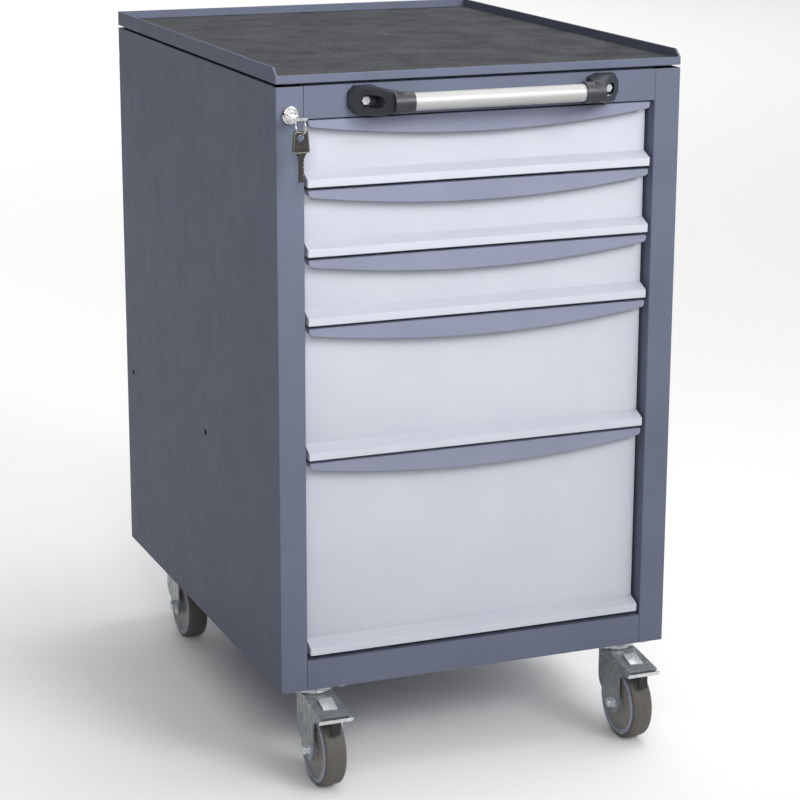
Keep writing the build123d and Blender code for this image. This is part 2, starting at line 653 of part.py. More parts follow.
# ---------------------------------------------------------------- castors
CROWN_Z = LIFT - RACE_DROP - SWIVEL_GAP      # top of a fork's crown
FORK_BACK = TRAIL + FORK_HALF                # rear of a fork behind the axle
HOOD_LEN = WHEEL_R - 4.0  # front of a fork's hood ahead of the axle
HOOD_FALL = 8.0           # the hood's front is this much lower than the crown
HOOD_START = -15.0        # where the hood starts to fall
HOOD_NOSE = 11.0          # depth of the hood's side at its front
HOOD_RAKE = 6.0           # the hood's side leans back this far
LEG_FRONT = 15.5          # front edge of a leg ahead of the axle, and round end's radius
ARCH_H = WHEEL_R - 13.0   # the leg's straight front edge above the axle
ARCH_R = 13.0             # rounded corner between leg and hood
REAR_H = WHEEL_R + 2.0    # the fork's lower edge behind the swivel, above the axle
PEDAL_T = 2.0
PEDAL_W = 46.0
PEDAL_OUT = 1.5           # pedal plate ahead of the hood
PEDAL_LIP = 3.5
TONGUE_W = 19.0
TONGUE_LEN = 24.0
TONGUE_UP = 4.5           # rear end of the tongue above the hood
TONGUE_START = 3.0
SHOE_W = 12.0
SHOE_T = 5.0
SHOE_H = 17.0
PEDAL_PIVOT_U = -18.0     # brake pivot behind the axle
PEDAL_UNDER = 3.5         # pedal below the hood's underside


def castor_plates():
    """The four mounting plates, each with its upper race and kingpin."""
    under = PLATE_TOP - PLATE_T
    race_end = LIFT - RACE_DROP
    pin_end = CROWN_Z - FORK_T - SWIVEL_GAP
    with BuildPart() as plates:
        for _, x, y, _ in SWIVELS:
            with BuildSketch(Plane((x, y, under))):
                RectangleRounded(PLATE_L, PLATE_B, 6)
                with GridLocations(PLATE_BOLTS_L, PLATE_BOLTS_B, 2, 2):
                    Circle(CASTOR_BOLT_R + BOLT_EASE, mode=Mode.SUBTRACT)
            extrude(amount=PLATE_T)
            with BuildSketch(Plane((x, y, race_end))):
                Circle(RACE_R)
            extrude(amount=under - race_end)
        chamfer(plates.edges().filter_by(GeomType.CIRCLE).group_by(Axis.Z)[0], RACE_EDGE)
        for _, x, y, _ in SWIVELS:
            with BuildSketch(Plane((x, y, race_end))):
                Circle(KINGPIN_R)
            extrude(amount=pin_end - race_end)
            with BuildSketch(Plane((x, y, pin_end))):
                Circle(KINGPIN_HEAD_R)
            extrude(amount=-KINGPIN_HEAD_H)
    return plates.part


save(castor_plates(), "castor_plates")

with BuildPart() as castor_bolts:
    for place in at_plate_bolts(PLATE_TOP - PLATE_T):
        hexagon_head(Plane(place, z_dir=(0, 0, -1)), CASTOR_BOLT_AF, CASTOR_BOLT_H)
        with BuildSketch(Plane(place)):
            Circle(CASTOR_BOLT_R)
        extrude(amount=PLATE_T + SHEET + CASTOR_BOLT_H + 3)
    for place in at_plate_bolts(PLATE_TOP + SHEET):
        hexagon_head(Plane(place), CASTOR_BOLT_AF, CASTOR_BOLT_H)
save(castor_bolts.part, "castor_bolts")


def fork_side(x, y):
    """A fork seen from its side, forward of the axle to the right, in a plane across the axle."""
    lift = AXLE_Z
    arch_z = lift + ARCH_H
    hood_z = CROWN_Z - HOOD_FALL
    with BuildSketch(Plane((x, y, 0), x_dir=(0, -1, 0), z_dir=(-1, 0, 0))) as outline:
        with BuildLine():
            Polyline(
                (-FORK_BACK - 1, lift + REAR_H),
                (-FORK_BACK - 1, CROWN_Z),
                (HOOD_START, CROWN_Z),
                (HOOD_LEN, hood_z),
                (HOOD_LEN - HOOD_RAKE, hood_z - HOOD_NOSE),
            )
            ThreePointArc(
                (HOOD_LEN - HOOD_RAKE, hood_z - HOOD_NOSE),
                (LEG_FRONT + ARCH_R / 2, arch_z + ARCH_R / 2),
                (LEG_FRONT, arch_z),
            )
            Line((LEG_FRONT, arch_z), (LEG_FRONT, lift))
            ThreePointArc((LEG_FRONT, lift), (0, lift - LEG_FRONT), (-LEG_FRONT, lift))
            Spline(
                (-LEG_FRONT, lift),
                (-TRAIL, lift + 0.28 * WHEEL_R),
                (-TRAIL - 9, lift + WHEEL_R / 2 + 1),
                (-FORK_BACK - 1, lift + REAR_H),
            )
        make_face()
    return outline.sketch


def fork(name, x, y, braked):
    """A pressed fork: crown, two legs that wrap round behind the swivel, and a hood over the wheel."""
    axle_y = y - TRAIL
    with BuildPart() as body:
        with BuildSketch(Plane.XY.offset(AXLE_Z - LEG_FRONT)):
            with Locations((x, y)):
                Circle(FORK_HALF)
            with Locations((x, (y + axle_y - HOOD_LEN) / 2)):
                Rectangle(2 * FORK_HALF, y - axle_y + HOOD_LEN)
        extrude(amount=CROWN_Z - AXLE_Z + LEG_FRONT)
        extrude(fork_side(x, axle_y), amount=2 * FORK_HALF, both=True, mode=Mode.INTERSECT)
        add(fork_cavity(x, y), mode=Mode.SUBTRACT)
        with Locations((x, y, CROWN_Z)):
            Cylinder(KINGPIN_R + FIT, 4 * FORK_T, mode=Mode.SUBTRACT)
        with Locations(Location((x, axle_y, AXLE_Z), (0, 90, 0))):
            Cylinder(AXLE_R, 4 * FORK_HALF, mode=Mode.SUBTRACT)
        if braked:
            with Locations(Location((x, axle_y - PEDAL_PIVOT_U, PIVOT_Z), (0, 90, 0))):
                Cylinder(BRAKE_PIVOT_R + FIT, 4 * FORK_HALF, mode=Mode.SUBTRACT)
            window = axle_y - TONGUE_START
            half = TONGUE_W / 2 + 0.7
            block(
                x - half, x + half,
                window - TONGUE_LEN - 1.5, window + 1.5,
                CROWN_Z - 14, CROWN_Z + 1,
                Mode.SUBTRACT,
            )
    save(body.part, f"{name}_fork")


def fork_cavity(x, y):
    """The hollow between the legs, under the crown and hood."""
    axle_y = y - TRAIL
    half = FORK_HALF - FORK_T
    roof = CROWN_Z - FORK_T
    fall = HOOD_FALL / (HOOD_LEN - HOOD_START)
    with BuildPart() as hollow:
        with BuildSketch(Plane.XY.offset(0)):
            with Locations((x, y)):
                Circle(half)
            with Locations((x, (y + axle_y - 2 * HOOD_LEN) / 2)):
                Rectangle(2 * half, y - axle_y + 2 * HOOD_LEN)
        extrude(amount=CROWN_Z)
        with BuildSketch(Plane((x, axle_y, 0), x_dir=(0, -1, 0), z_dir=(-1, 0, 0))):
            with BuildLine():
                Polyline(
                    (-2 * FORK_BACK, 0),
                    (2 * HOOD_LEN, 0),
                    (2 * HOOD_LEN, roof - fall * (2 * HOOD_LEN - HOOD_START)),
                    (HOOD_START, roof),
                    (-2 * FORK_BACK, roof),
                    close=True,
                )
            make_face()
        extrude(amount=2 * FORK_HALF, both=True, mode=Mode.INTERSECT)
    return hollow.part


PIVOT_Z = CROWN_Z - FORK_T - PEDAL_UNDER - BRAKE_PIVOT_R - 1


def axle(name, x, y):
    """The wheel's axle bolt, its head on the right and its nut on the left."""
    axle_y = y - TRAIL
    with BuildPart() as bolt:
        with BuildSketch(Plane((x - FORK_HALF - AXLE_NUT - 1, axle_y, AXLE_Z), z_dir=(1, 0, 0))):
            Circle(AXLE_R)
        extrude(amount=2 * FORK_HALF + AXLE_NUT + 1)
        hexagon_head(Plane((x + FORK_HALF, axle_y, AXLE_Z), z_dir=(1, 0, 0)), AXLE_AF, AXLE_HEAD)
        hexagon_head(Plane((x - FORK_HALF, axle_y, AXLE_Z), z_dir=(-1, 0, 0)), AXLE_AF, AXLE_NUT)
    save(bolt.part, f"{name}_axle")


def wheel(name, x, y):
    """A moulded wheel centre with thread guards, and its grey tyre."""
    axle_y = y - TRAIL
    half = WHEEL_W / 2
    section = Plane((x, axle_y, AXLE_Z), x_dir=(1, 0, 0), z_dir=(0, -1, 0))
    spin = Axis((x, axle_y, AXLE_Z), (1, 0, 0))
    boss = FORK_HALF - FORK_T - SWIVEL_GAP
    with BuildPart() as centre:
        with BuildSketch(section):
            with BuildLine():
                Polyline(
                    (-boss, AXLE_R + FIT),
                    (boss, AXLE_R + FIT),
                    (boss, AXLE_R + 6),
                    (half - GUARD_STEP, AXLE_R + 9),
                    (half - GUARD_STEP, GUARD_R),
                    (half, GUARD_R + 0.6),
                    (half, RIM_R - 0.6),
                    (half - 0.8, RIM_R),
                    (half - 3, RIM_R),
                    (half - 3, TYRE_SEAT_R),
                    (-half + 3, TYRE_SEAT_R),
                    (-half + 3, RIM_R),
                    (-half + 0.8, RIM_R),
                    (-half, RIM_R - 0.6),
                    (-half, GUARD_R + 0.6),
                    (-half + GUARD_STEP, GUARD_R),
                    (-half + GUARD_STEP, AXLE_R + 9),
                    (-boss, AXLE_R + 6),
                    close=True,
                )
            make_face()
        revolve(axis=spin)
    save(centre.part, f"{name}_wheel")
    with BuildPart() as tyre:
        with BuildSketch(section):
            with BuildLine():
                Polyline(
                    (-half + 3, RIM_R),
                    (-half + 3, TYRE_SEAT_R),
                    (half - 3, TYRE_SEAT_R),
                    (half - 3, RIM_R),
                    (half - 0.8, RIM_R),
                    (half - WHEEL_CROWN, WHEEL_R - 0.5),
                )
                ThreePointArc(
                    (half - WHEEL_CROWN, WHEEL_R - 0.5),
                    (0, WHEEL_R),
                    (-half + WHEEL_CROWN, WHEEL_R - 0.5),
                )
                Polyline((-half + WHEEL_CROWN, WHEEL_R - 0.5), (-half + 0.8, RIM_R), (-half + 3, RIM_R))
            make_face()
        revolve(axis=spin)
    save(tyre.part, f"{name}_tyre")


def brake_pedal(name, x, y):
    """The toe pedal: pivot tube, plate under the hood, tongue through its window, front lip and shoe."""
    axle_y = y - TRAIL
    reach = FORK_HALF - FORK_T - SWIVEL_GAP
    under = CROWN_Z - FORK_T - PEDAL_UNDER
    fall = HOOD_FALL / (HOOD_LEN - HOOD_START)
    nose = HOOD_LEN + PEDAL_OUT
    side = Plane((x, axle_y, 0), x_dir=(0, -1, 0), z_dir=(-1, 0, 0))

    def line_z(u):
        return under - max(0.0, u - HOOD_START) * fall

    with BuildPart() as pedal:
        with BuildSketch(side):
            with BuildLine():
                Polyline(
                    (PEDAL_PIVOT_U, PIVOT_Z + BRAKE_PIVOT_R),
                    (PEDAL_PIVOT_U, PIVOT_Z + BRAKE_PIVOT_R - PEDAL_T),
                    (HOOD_START, line_z(HOOD_START) - PEDAL_T),
                    (nose, line_z(nose) - PEDAL_T),
                    (nose, line_z(nose)),
                    (HOOD_START, line_z(HOOD_START)),
                    close=True,
                )
            make_face()
        extrude(amount=TONGUE_W / 2 + 6, both=True)
        with BuildSketch(side):
            with Locations((PEDAL_PIVOT_U, PIVOT_Z)):
                Circle(BRAKE_PIVOT_R)
        extrude(amount=FORK_HALF, both=True)
        with BuildSketch(side):
            with BuildLine():
                start, end = TONGUE_START, TONGUE_START + TONGUE_LEN
                rise = PEDAL_UNDER + FORK_T
                Polyline(
                    (start, line_z(start) - 1),
                    (start, line_z(start) + rise + TONGUE_UP - 1),
                    (start + 2, line_z(start) + rise + TONGUE_UP),
                    (end, line_z(end) + rise + 0.6),
                    (end, line_z(end) - 1),
                    close=True,
                )
            make_face()
        extrude(amount=TONGUE_W / 2, both=True)
        with BuildSketch(side):
            with BuildLine():
                Polyline(
                    (nose - PEDAL_T, line_z(nose) - PEDAL_T),
                    (nose + 0.5, line_z(nose) + PEDAL_LIP),
                    (nose + 0.5 + PEDAL_T, line_z(nose) + PEDAL_LIP),
                    (nose, line_z(nose) - PEDAL_T),
                    close=True,
                )
            make_face()
        extrude(amount=PEDAL_W / 2, both=True)
    with BuildPart() as shoe:
        shoe_top = line_z(nose) - PEDAL_T
        block(
            x - SHOE_W / 2, x + SHOE_W / 2,
            axle_y - nose, axle_y - nose + SHOE_T,
            shoe_top - SHOE_H, shoe_top,
        )
    save(Compound(children=[pedal.part, shoe.part]), f"{name}_brake_pedal")


for name, x, y, braked in SWIVELS:
    fork(name, x, y, braked)
    axle(name, x, y)
    wheel(name, x, y)
    if braked:
        brake_pedal(name, x, y)
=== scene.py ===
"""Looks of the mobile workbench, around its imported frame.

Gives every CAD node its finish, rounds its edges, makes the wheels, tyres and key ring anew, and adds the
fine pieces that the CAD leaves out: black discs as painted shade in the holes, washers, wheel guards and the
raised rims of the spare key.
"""

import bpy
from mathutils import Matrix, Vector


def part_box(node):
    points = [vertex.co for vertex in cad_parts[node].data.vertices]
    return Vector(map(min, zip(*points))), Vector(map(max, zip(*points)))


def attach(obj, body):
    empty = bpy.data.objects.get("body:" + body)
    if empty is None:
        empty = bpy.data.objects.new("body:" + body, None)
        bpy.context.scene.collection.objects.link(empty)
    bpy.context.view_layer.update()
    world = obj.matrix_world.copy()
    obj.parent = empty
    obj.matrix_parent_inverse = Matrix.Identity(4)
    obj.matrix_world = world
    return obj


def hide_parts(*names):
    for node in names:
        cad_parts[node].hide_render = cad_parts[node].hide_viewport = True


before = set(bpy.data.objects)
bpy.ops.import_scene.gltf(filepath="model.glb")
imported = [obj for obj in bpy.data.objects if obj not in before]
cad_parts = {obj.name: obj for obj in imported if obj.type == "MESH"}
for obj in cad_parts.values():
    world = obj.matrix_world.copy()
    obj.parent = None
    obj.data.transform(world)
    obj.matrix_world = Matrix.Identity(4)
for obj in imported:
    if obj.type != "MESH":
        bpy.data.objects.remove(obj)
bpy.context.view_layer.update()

import math

import bmesh
import bpy
import numpy as np
from mathutils import Quaternion, Vector

bl_info = {
    "name": "Workbench with drawers",
    "version": (1, 0, 0),
    "blender": (4, 5, 0),
    "location": "3D View > Sidebar > Workbench",
    "description": "Builds the finishes and fine pieces of a mobile workbench around its packed frame",
    "category": "Object",
}

MM = 0.001
DRAWERS = range(1, 6)
CASTORS = ("front_left", "front_right", "rear_left", "rear_right")
BRAKED = CASTORS[:2]

# edge rounding of the CAD pieces that are worked on, mm
ROUND = {"tube": 0.3, "bracket": 1.0, "handle bolt": 0.6, "lock": 0.25, "key": 0.4,
         "plate": 0.5, "bolt": 0.4, "fork": 0.9, "axle": 0.6, "pedal": 0.4}
FINE = 3                  # segments of a rounding that is seen from near
CABINET_ROUND = 0.35      # rounding of the cabinet's sheets, as a share of the sheet edge radius
PULL_ROUND = 0.7          # the same for the pulls

CAD_MERGE = 1e-5          # points of a CAD mesh closer than this are one, metres
MADE_MERGE = 1e-6         # the same for a made mesh
FLAT = 1                  # faces of a CAD mesh that turn less than this are one, degrees
CAD_SHARP = 32            # edges sharper than this stay sharp or are rounded, degrees
TURNED_SHARP = 35         # the same for a turned piece
BEAD_SHARP = 60           # the same for a bead

# black discs that fill the side panels' holes and corner slots, painted shade for their dark insides: (along
# the disc, radius) in mm
SIDE_HOLES = ((308.0, 269.0), (665.0, 269.0))     # from the cabinet's front and bottom, mm
CORNER_SLOTS = (321.0, 738.0)                     # above the cabinet's bottom, mm
SLOT_IN = 2.7             # middle of a slot's black disc of painted shade from the cabinet's side and back, mm
HOLE_SHADE_DISC = ((0.02, 0.0), (0.02, 4.3), (0.1, 4.5), (1.1, 4.5), (1.1, 0.0))
SLOT_SHADE_DISC = ((0.1, 0.0), (0.1, 2.2), (0.4, 2.6), (8.8, 2.6), (9.1, 2.2), (9.1, 0.0))
SHADE_DISC_STEPS = 32

# lock, ring and keys
BODY_OF_LOCK = {"lock_housing": "cabinet", "lock_plug": "lock_cylinder", "key_in_lock": "lock_cylinder",
                "spare_key": "hanging_key"}
RING_WIRE = 0.72          # radius of the ring's wire, mm
RING_CAD_WIRE = 0.8       # the same in the frame, mm
RING_TURN = math.radians(14)
RING_AXIS = (math.cos(RING_TURN), math.sin(RING_TURN), 0.0)
RING_POINTS = 72          # points round the ring's middle line
BOW_SHAPE = ((-0.43, 0.04), (0.43, 0.04), (0.46, 0.12), (0.36, 0.95), (-0.36, 0.95), (-0.46, 0.12))
BOW_PART = 0.435          # share of the key's length that is its bow
BOW_POINTS = 12           # points along each side of the bow
RIM_WIRE = 0.45           # radius of the raised rim round the bow, mm
RIM_SINK = 0.2            # depth of the rim's middle line under the key's face, mm

# half profiles of a wheel: (from its middle plane, radius) in mm, from the bore outwards
WHEEL_RIM = ((18.0, 4.1), (18.0, 9.2), (17.3, 10.0), (13.7, 12.9), (13.2, 13.6), (13.2, 37.6), (13.7, 38.1),
             (14.6, 38.4), (15.0, 38.9), (15.0, 40.3), (14.8, 40.5), (14.8, 40.8), (15.0, 41.0), (15.0, 44.0),
             (14.8, 44.8), (14.3, 45.3), (12.1, 45.4), (12.1, 42.5))
TYRE = ((12.0, 42.6), (12.15, 45.5), (13.4, 45.55), (14.1, 45.9), (14.25, 46.7), (14.0, 47.6), (13.3, 48.5),
        (12.2, 49.2), (10.5, 49.65), (8.0, 49.85), (4.5, 49.97), (0.5, 50.0), (0.3, 49.9))
GUARD = ((12.8, 13.4), (13.9, 13.6), (14.1, 14.6), (13.95, 15.2), (13.9, 34.8), (14.15, 35.6), (14.3, 36.6),
         (14.1, 37.2), (13.7, 37.5), (12.8, 37.5))
WASHER = ((0.0, 4.1), (0.0, 8.3), (0.7, 8.3), (1.0, 8.0), (1.0, 4.1))
WASHER_STEPS = 48
FORK_OUTSIDE = 21.0       # outside of a fork leg from the wheel's middle plane, mm
SHOE_H = 16.9             # height of the brake shoe under the pedal, mm

# soft lights: name, place, target, width, power in watts, spread of the beam in degrees
LIGHTS = (
    ("key light", (1.0, -2.6, 2.3), (-0.1, -0.3, 1.34), 1.2, 10.2, 60),
    ("fill light", (-1.1, -2.9, 1.9), (-0.25, -0.3, 1.3), 1.0, 6.9, 60),
    ("top light", (0.8, 0.2, 3.4), (0.3, 0.1, 0.9), 1.8, 26, 180),
    ("far floor light", (1.0, 8.0, 5.0), (1.0, 8.0, 0.0), 6.0, 185, 180),
)
LIT_SIDE = (0.62, -0.3, 0.72)      # direction that the surroundings are brightest from
DIM, BRIGHT = 0.04, 1.05           # strength of the surroundings on the far and on the lit side
DIM_UNTIL, BRIGHT_FROM = -0.25, 0.95              # where those strengths are reached along LIT_SIDE

# camera: from the middle of the cabinet's lower front edge, in metres; yaw, pitch down and roll in degrees
CAMERA_PLACE = (-1.2281, -2.7623, 1.1727)
CAMERA_TURN = (21.998, 14.977, 0.188)
CAMERA_LENS = 109.37
FILM_WIDTH = 36.0

# ---------------------------------------------------------------- colour and shader tree helpers


def linear(text):
    """sRGB hex text, such as #8E93AA, as linear RGBA."""
    values = np.array([int(text[i:i + 2], 16) / 255 for i in (1, 3, 5)])
    curve = np.where(values <= 0.04045, values / 12.92, ((values + 0.055) / 1.055) ** 2.4)
    return (*curve.tolist(), 1.0)


def add(tree, kind, inputs=None, **settings):
    """Add a shader node with its own settings; inputs maps a socket to a value or to a node's output."""
    node = tree.nodes.new("ShaderNode" + kind)
    for name, value in settings.items():
        setattr(node, name, value)
    for socket, value in (inputs or {}).items():
        if isinstance(value, bpy.types.NodeSocket):
            tree.links.new(value, node.inputs[socket])
        else:
            node.inputs[socket].default_value = value
    return node


def new_material(name):
    """An empty material with a Principled shader: (material, tree, shader, object coordinates)."""
    material = bpy.data.materials.new(name)
    material.use_nodes = True
    tree = material.node_tree
    tree.nodes.clear()
    shader = add(tree, "BsdfPrincipled")
    add(tree, "OutputMaterial", {"Surface": shader.outputs["BSDF"]})
    place = add(tree, "TexCoord").outputs["Object"]
    return material, tree, shader, place


def noise(tree, place, size_mm, detail, roughness=0.5):
    """Noise whose grains are about size_mm across; object coordinates are metres."""
    made = add(tree, "TexNoise", {"Vector": place, "Scale": 1 / (size_mm * MM), "Detail": detail,
                                  "Roughness": roughness})
    return made.outputs["Fac"]


def spread(tree, value, least, most, start=0.3, end=0.7):
    """A pattern stretched so that start to end of it becomes least to most."""
    return add(tree, "MapRange", {"Value": value, "From Min": start, "From Max": end, "To Min": least,
                                  "To Max": most}).outputs["Result"]


def mix(tree, factor, first, second):
    """A colour between first and second; 0, 6, 7 and 2 are the Mix node's factor and colour sockets."""
    made = add(tree, "Mix", data_type="RGBA")
    for socket, value in ((0, factor), (6, first), (7, second)):
        if isinstance(value, bpy.types.NodeSocket):
            tree.links.new(value, made.inputs[socket])
        else:
            made.inputs[socket].default_value = value
    return made.outputs[2]


def bump(tree, shader, height, depth_mm, strength, below=None):
    """Raise the surface by the pattern height, depth_mm deep, on top of the bump below."""
    inputs = {"Height": height, "Distance": depth_mm * MM, "Strength": strength}
    if below is not None:
        inputs["Normal"] = below
    made = add(tree, "Bump", inputs)
    tree.links.new(made.outputs["Normal"], shader.inputs["Normal"])
    return made.outputs["Normal"]


# ---------------------------------------------------------------- materials


def powder_coat(name, colour, shade, peel_mm=1.6, gloss=0.07):
    """Polyester powder coat, baked: an even satin colour, fine orange peel, faint clouding and hand marks."""
    material, tree, shader, place = new_material(name)
    clouds = noise(tree, place, 90, 4)
    grain = noise(tree, place, 1.1, 2)
    tone = mix(tree, spread(tree, clouds, 0.0, 1.0), linear(colour), linear(shade))
    tone = mix(tree, spread(tree, grain, 0.0, 0.16), tone, linear(shade))
    tree.links.new(tone, shader.inputs["Base Color"])
    marks = noise(tree, place, 34, 5, 0.65)
    tree.links.new(spread(tree, marks, 0.42, 0.54), shader.inputs["Roughness"])
    peel = bump(tree, shader, noise(tree, place, peel_mm, 1), 0.03, 0.5)
    bump(tree, shader, noise(tree, place, 0.45, 1), 0.008, 0.5, peel)
    shader.inputs["Specular IOR Level"].default_value = gloss
    return material


def pebbled_rubber(name, colour, dust, pit):
    """Calendered EPDM matting: near-black, matt, with a fine pebble, chalky bloom and scuffed streaks."""
    material, tree, shader, place = new_material(name)
    bloom = noise(tree, place, 60, 7, 0.72)
    pebble = add(tree, "TexVoronoi", {"Vector": place, "Scale": 1 / (2.6 * MM)}).outputs["Distance"]
    streak_place = add(tree, "Mapping", {"Vector": place, "Scale": (0.45, 1.0, 1.0)}).outputs["Vector"]
    streaks = noise(tree, streak_place, 12, 6, 0.7)
    tone = mix(tree, spread(tree, bloom, 0.0, 1.0, 0.36, 0.64), linear(colour), linear(dust))
    tone = mix(tree, spread(tree, streaks, 0.0, 0.5, 0.42, 0.68), tone, linear(dust))
    tone = mix(tree, spread(tree, noise(tree, place, 3.2, 3), 0.0, 0.45, 0.4, 0.66), tone, linear(pit))
    tree.links.new(tone, shader.inputs["Base Color"])
    tree.links.new(spread(tree, bloom, 0.62, 0.8), shader.inputs["Roughness"])
    skin = bump(tree, shader, pebble, 0.4, 0.8)
    bump(tree, shader, noise(tree, place, 0.8, 2), 0.08, 0.5, skin)
    shader.inputs["Specular IOR Level"].default_value = 0.12
    return material


def satin_aluminium(name, colour, shade):
    """Drawn aluminium tube, fine-brushed along its length and clear anodised."""
    material, tree, shader, place = new_material(name)
    along = add(tree, "Mapping", {"Vector": place, "Scale": (0.02, 1.0, 1.0)}).outputs["Vector"]
    lines = noise(tree, along, 0.6, 4, 0.6)
    tone = mix(tree, spread(tree, lines, 0.0, 0.3), linear(colour), linear(shade))
    tone = mix(tree, spread(tree, noise(tree, place, 25, 4), 0.0, 0.25), tone, linear(shade))
    tree.links.new(tone, shader.inputs["Base Color"])
    tree.links.new(spread(tree, lines, 0.5, 0.58), shader.inputs["Roughness"])
    shader.inputs["Metallic"].default_value = 0.5
    bump(tree, shader, lines, 0.002, 0.2)
    return material


def moulded_nylon(name, colour, second_colour, roughness, spark_mm=0.7, gloss=0.5):
    """Injection-moulded glass-filled nylon: spark-eroded skin, slightly lighter where fibres show."""
    material, tree, shader, place = new_material(name)
    flow = noise(tree, place, 14, 4)
    fibres = noise(tree, place, 0.5, 2)
    tone = mix(tree, spread(tree, flow, 0.0, 0.7), linear(colour), linear(second_colour))
    tone = mix(tree, spread(tree, fibres, 0.0, 0.18, 0.45, 0.75), tone, linear(second_colour))
    tree.links.new(tone, shader.inputs["Base Color"])
    tree.links.new(spread(tree, flow, roughness - 0.06, roughness + 0.08), shader.inputs["Roughness"])
    bump(tree, shader, noise(tree, place, spark_mm, 2), 0.05, 0.6)
    shader.inputs["Specular IOR Level"].default_value = gloss
    return material


def zinc_plate(name, colour, tint, roughness, grain_mm, metal=0.85):
    """Pressed steel, zinc plated and blue passivated: greyish metal with drifting tint and dull patches."""
    material, tree, shader, place = new_material(name)
    drift = noise(tree, place, grain_mm * 2, 4, 0.6)
    speck = noise(tree, place, 1.2, 3)
    tone = mix(tree, spread(tree, drift, 0.0, 1.0), linear(colour), linear(tint))
    tone = mix(tree, spread(tree, speck, 0.0, 0.3, 0.5, 0.75), tone, linear("#6F7376"))
    tree.links.new(tone, shader.inputs["Base Color"])
    tree.links.new(spread(tree, drift, roughness - 0.08, roughness + 0.16), shader.inputs["Roughness"])
    shader.inputs["Metallic"].default_value = metal
    bump(tree, shader, noise(tree, place, 1.5, 3), 0.02, 0.6)
    return material


def galvanised(name, colour, dark):
    """Hot-dip galvanised sheet: crystalline spangle in flat grey facets."""
    material, tree, shader, place = new_material(name)
    spangle = add(tree, "TexVoronoi", {"Vector": place, "Scale": 1 / (9 * MM)}).outputs["Color"]
    tone = mix(tree, spangle, linear(colour), linear(dark))
    tree.links.new(tone, shader.inputs["Base Color"])
    shader.inputs["Metallic"].default_value = 0.85
    tree.links.new(spread(tree, noise(tree, place, 6, 3), 0.38, 0.55), shader.inputs["Roughness"])
    return material


def polished_nickel(name, colour, haze=0.1):
    """Polished nickel-chrome on brass: bright, with hairline scratches."""
    material, tree, shader, place = new_material(name)
    thin = add(tree, "Mapping", {"Vector": place, "Scale": (1.0, 1.0, 0.06),
                                 "Rotation": (0.3, 0.5, 0.2)}).outputs["Vector"]
    scratches = noise(tree, thin, 0.4, 3, 0.7)
    tree.links.new(mix(tree, spread(tree, scratches, 0.0, 0.2), linear(colour), linear("#A9ABAD")),
                   shader.inputs["Base Color"])
    tree.links.new(spread(tree, scratches, haze, haze + 0.08), shader.inputs["Roughness"])
    shader.inputs["Metallic"].default_value = 1.0
    bump(tree, shader, scratches, 0.001, 0.15)
    return material


def moulded_rubber(name, colour, second_colour):
    """Grey non-marking rubber, compression moulded: matt, dusty, a little scuffed on the tread."""
    material, tree, shader, place = new_material(name)
    dust = noise(tree, place, 16, 6, 0.7)
    fine = noise(tree, place, 0.9, 3)
    tone = mix(tree, spread(tree, dust, 0.0, 1.0), linear(colour), linear(second_colour))
    tone = mix(tree, spread(tree, fine, 0.0, 0.25), tone, linear(second_colour))
    tree.links.new(tone, shader.inputs["Base Color"])
    tree.links.new(spread(tree, dust, 0.52, 0.72), shader.inputs["Roughness"])
    bump(tree, shader, fine, 0.06, 0.6)
    return material


def studio_paper(name, colour):
    """Seamless backdrop paper: plain, matt, faintly fibrous."""
    material, tree, shader, place = new_material(name)
    fibre = noise(tree, place, 3, 3)
    tree.links.new(mix(tree, spread(tree, fibre, 0.0, 1.0), linear(colour), linear("#FBFBFA")),
                   shader.inputs["Base Color"])
    shader.inputs["Roughness"].default_value = 0.9
    return material


# ---------------------------------------------------------------- mesh helpers


def repaint(node, material):
    """Give a CAD node its finish."""
    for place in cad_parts[node].material_slots:
        place.material = material


def finish_piece(obj, body, material, slot, *nodes):
    """Put a made piece on its body, in its finish, in place of the CAD nodes it stands for."""
    obj.data.materials.clear()
    obj.data.materials.append(material)
    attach(obj, body)
    if nodes:
        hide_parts(*nodes)


def smooth(obj, angle):
    """Smooth shading that keeps edges sharper than the angle, in degrees."""
    obj.data.shade_smooth()
    obj.data.set_sharp_from_angle(angle=math.radians(angle))


def mesh_piece(name, points, faces):
    """An object from arrays of points (metres) and faces, at the origin."""
    mesh = bpy.data.meshes.new(name)
    mesh.from_pydata(points.tolist(), [], faces)
    mesh.update()
    obj = bpy.data.objects.new(name, mesh)
    bpy.context.collection.objects.link(obj)
    return obj


def grid_faces(rows, columns, wrap=False):
    """Quads between the points of a rows by columns grid, as point numbers; wrap closes it both ways."""
    i = np.arange(rows if wrap else rows - 1)[:, None]
    j = np.arange(columns if wrap else columns - 1)[None, :]
    ni, nj = (i + 1) % rows, (j + 1) % columns
    corners = [i * columns + j, ni * columns + j, ni * columns + nj, i * columns + nj]
    quads = np.stack([np.broadcast_to(c, (len(i), j.shape[1])) for c in corners], -1).reshape(-1, 4)
    return quads.tolist()


def turned(name, profile, centre, axis, steps):
    """A closed profile of (along, radius) points in mm, turned about an axis through centre (metres).

    Each point is centre + along * axis + radius * (cos t * u + sin t * v), with t round the full circle.
    """
    profile = np.asarray(profile, float) * MM
    axis = Vector(axis).normalized()
    u = axis.orthogonal().normalized()
    v = axis.cross(u)
    t = np.linspace(0, 2 * math.pi, steps, endpoint=False)
    ring = np.cos(t)[:, None] * np.array(u) + np.sin(t)[:, None] * np.array(v)
    points = np.array(centre) + profile[None, :, :1] * np.array(axis) + profile[None, :, 1:] * ring[:, None]
    count = len(profile)
    obj = mesh_piece(name, points.reshape(-1, 3), grid_faces(steps, count, True))
    outward(obj)
    smooth(obj, TURNED_SHARP)
    return obj


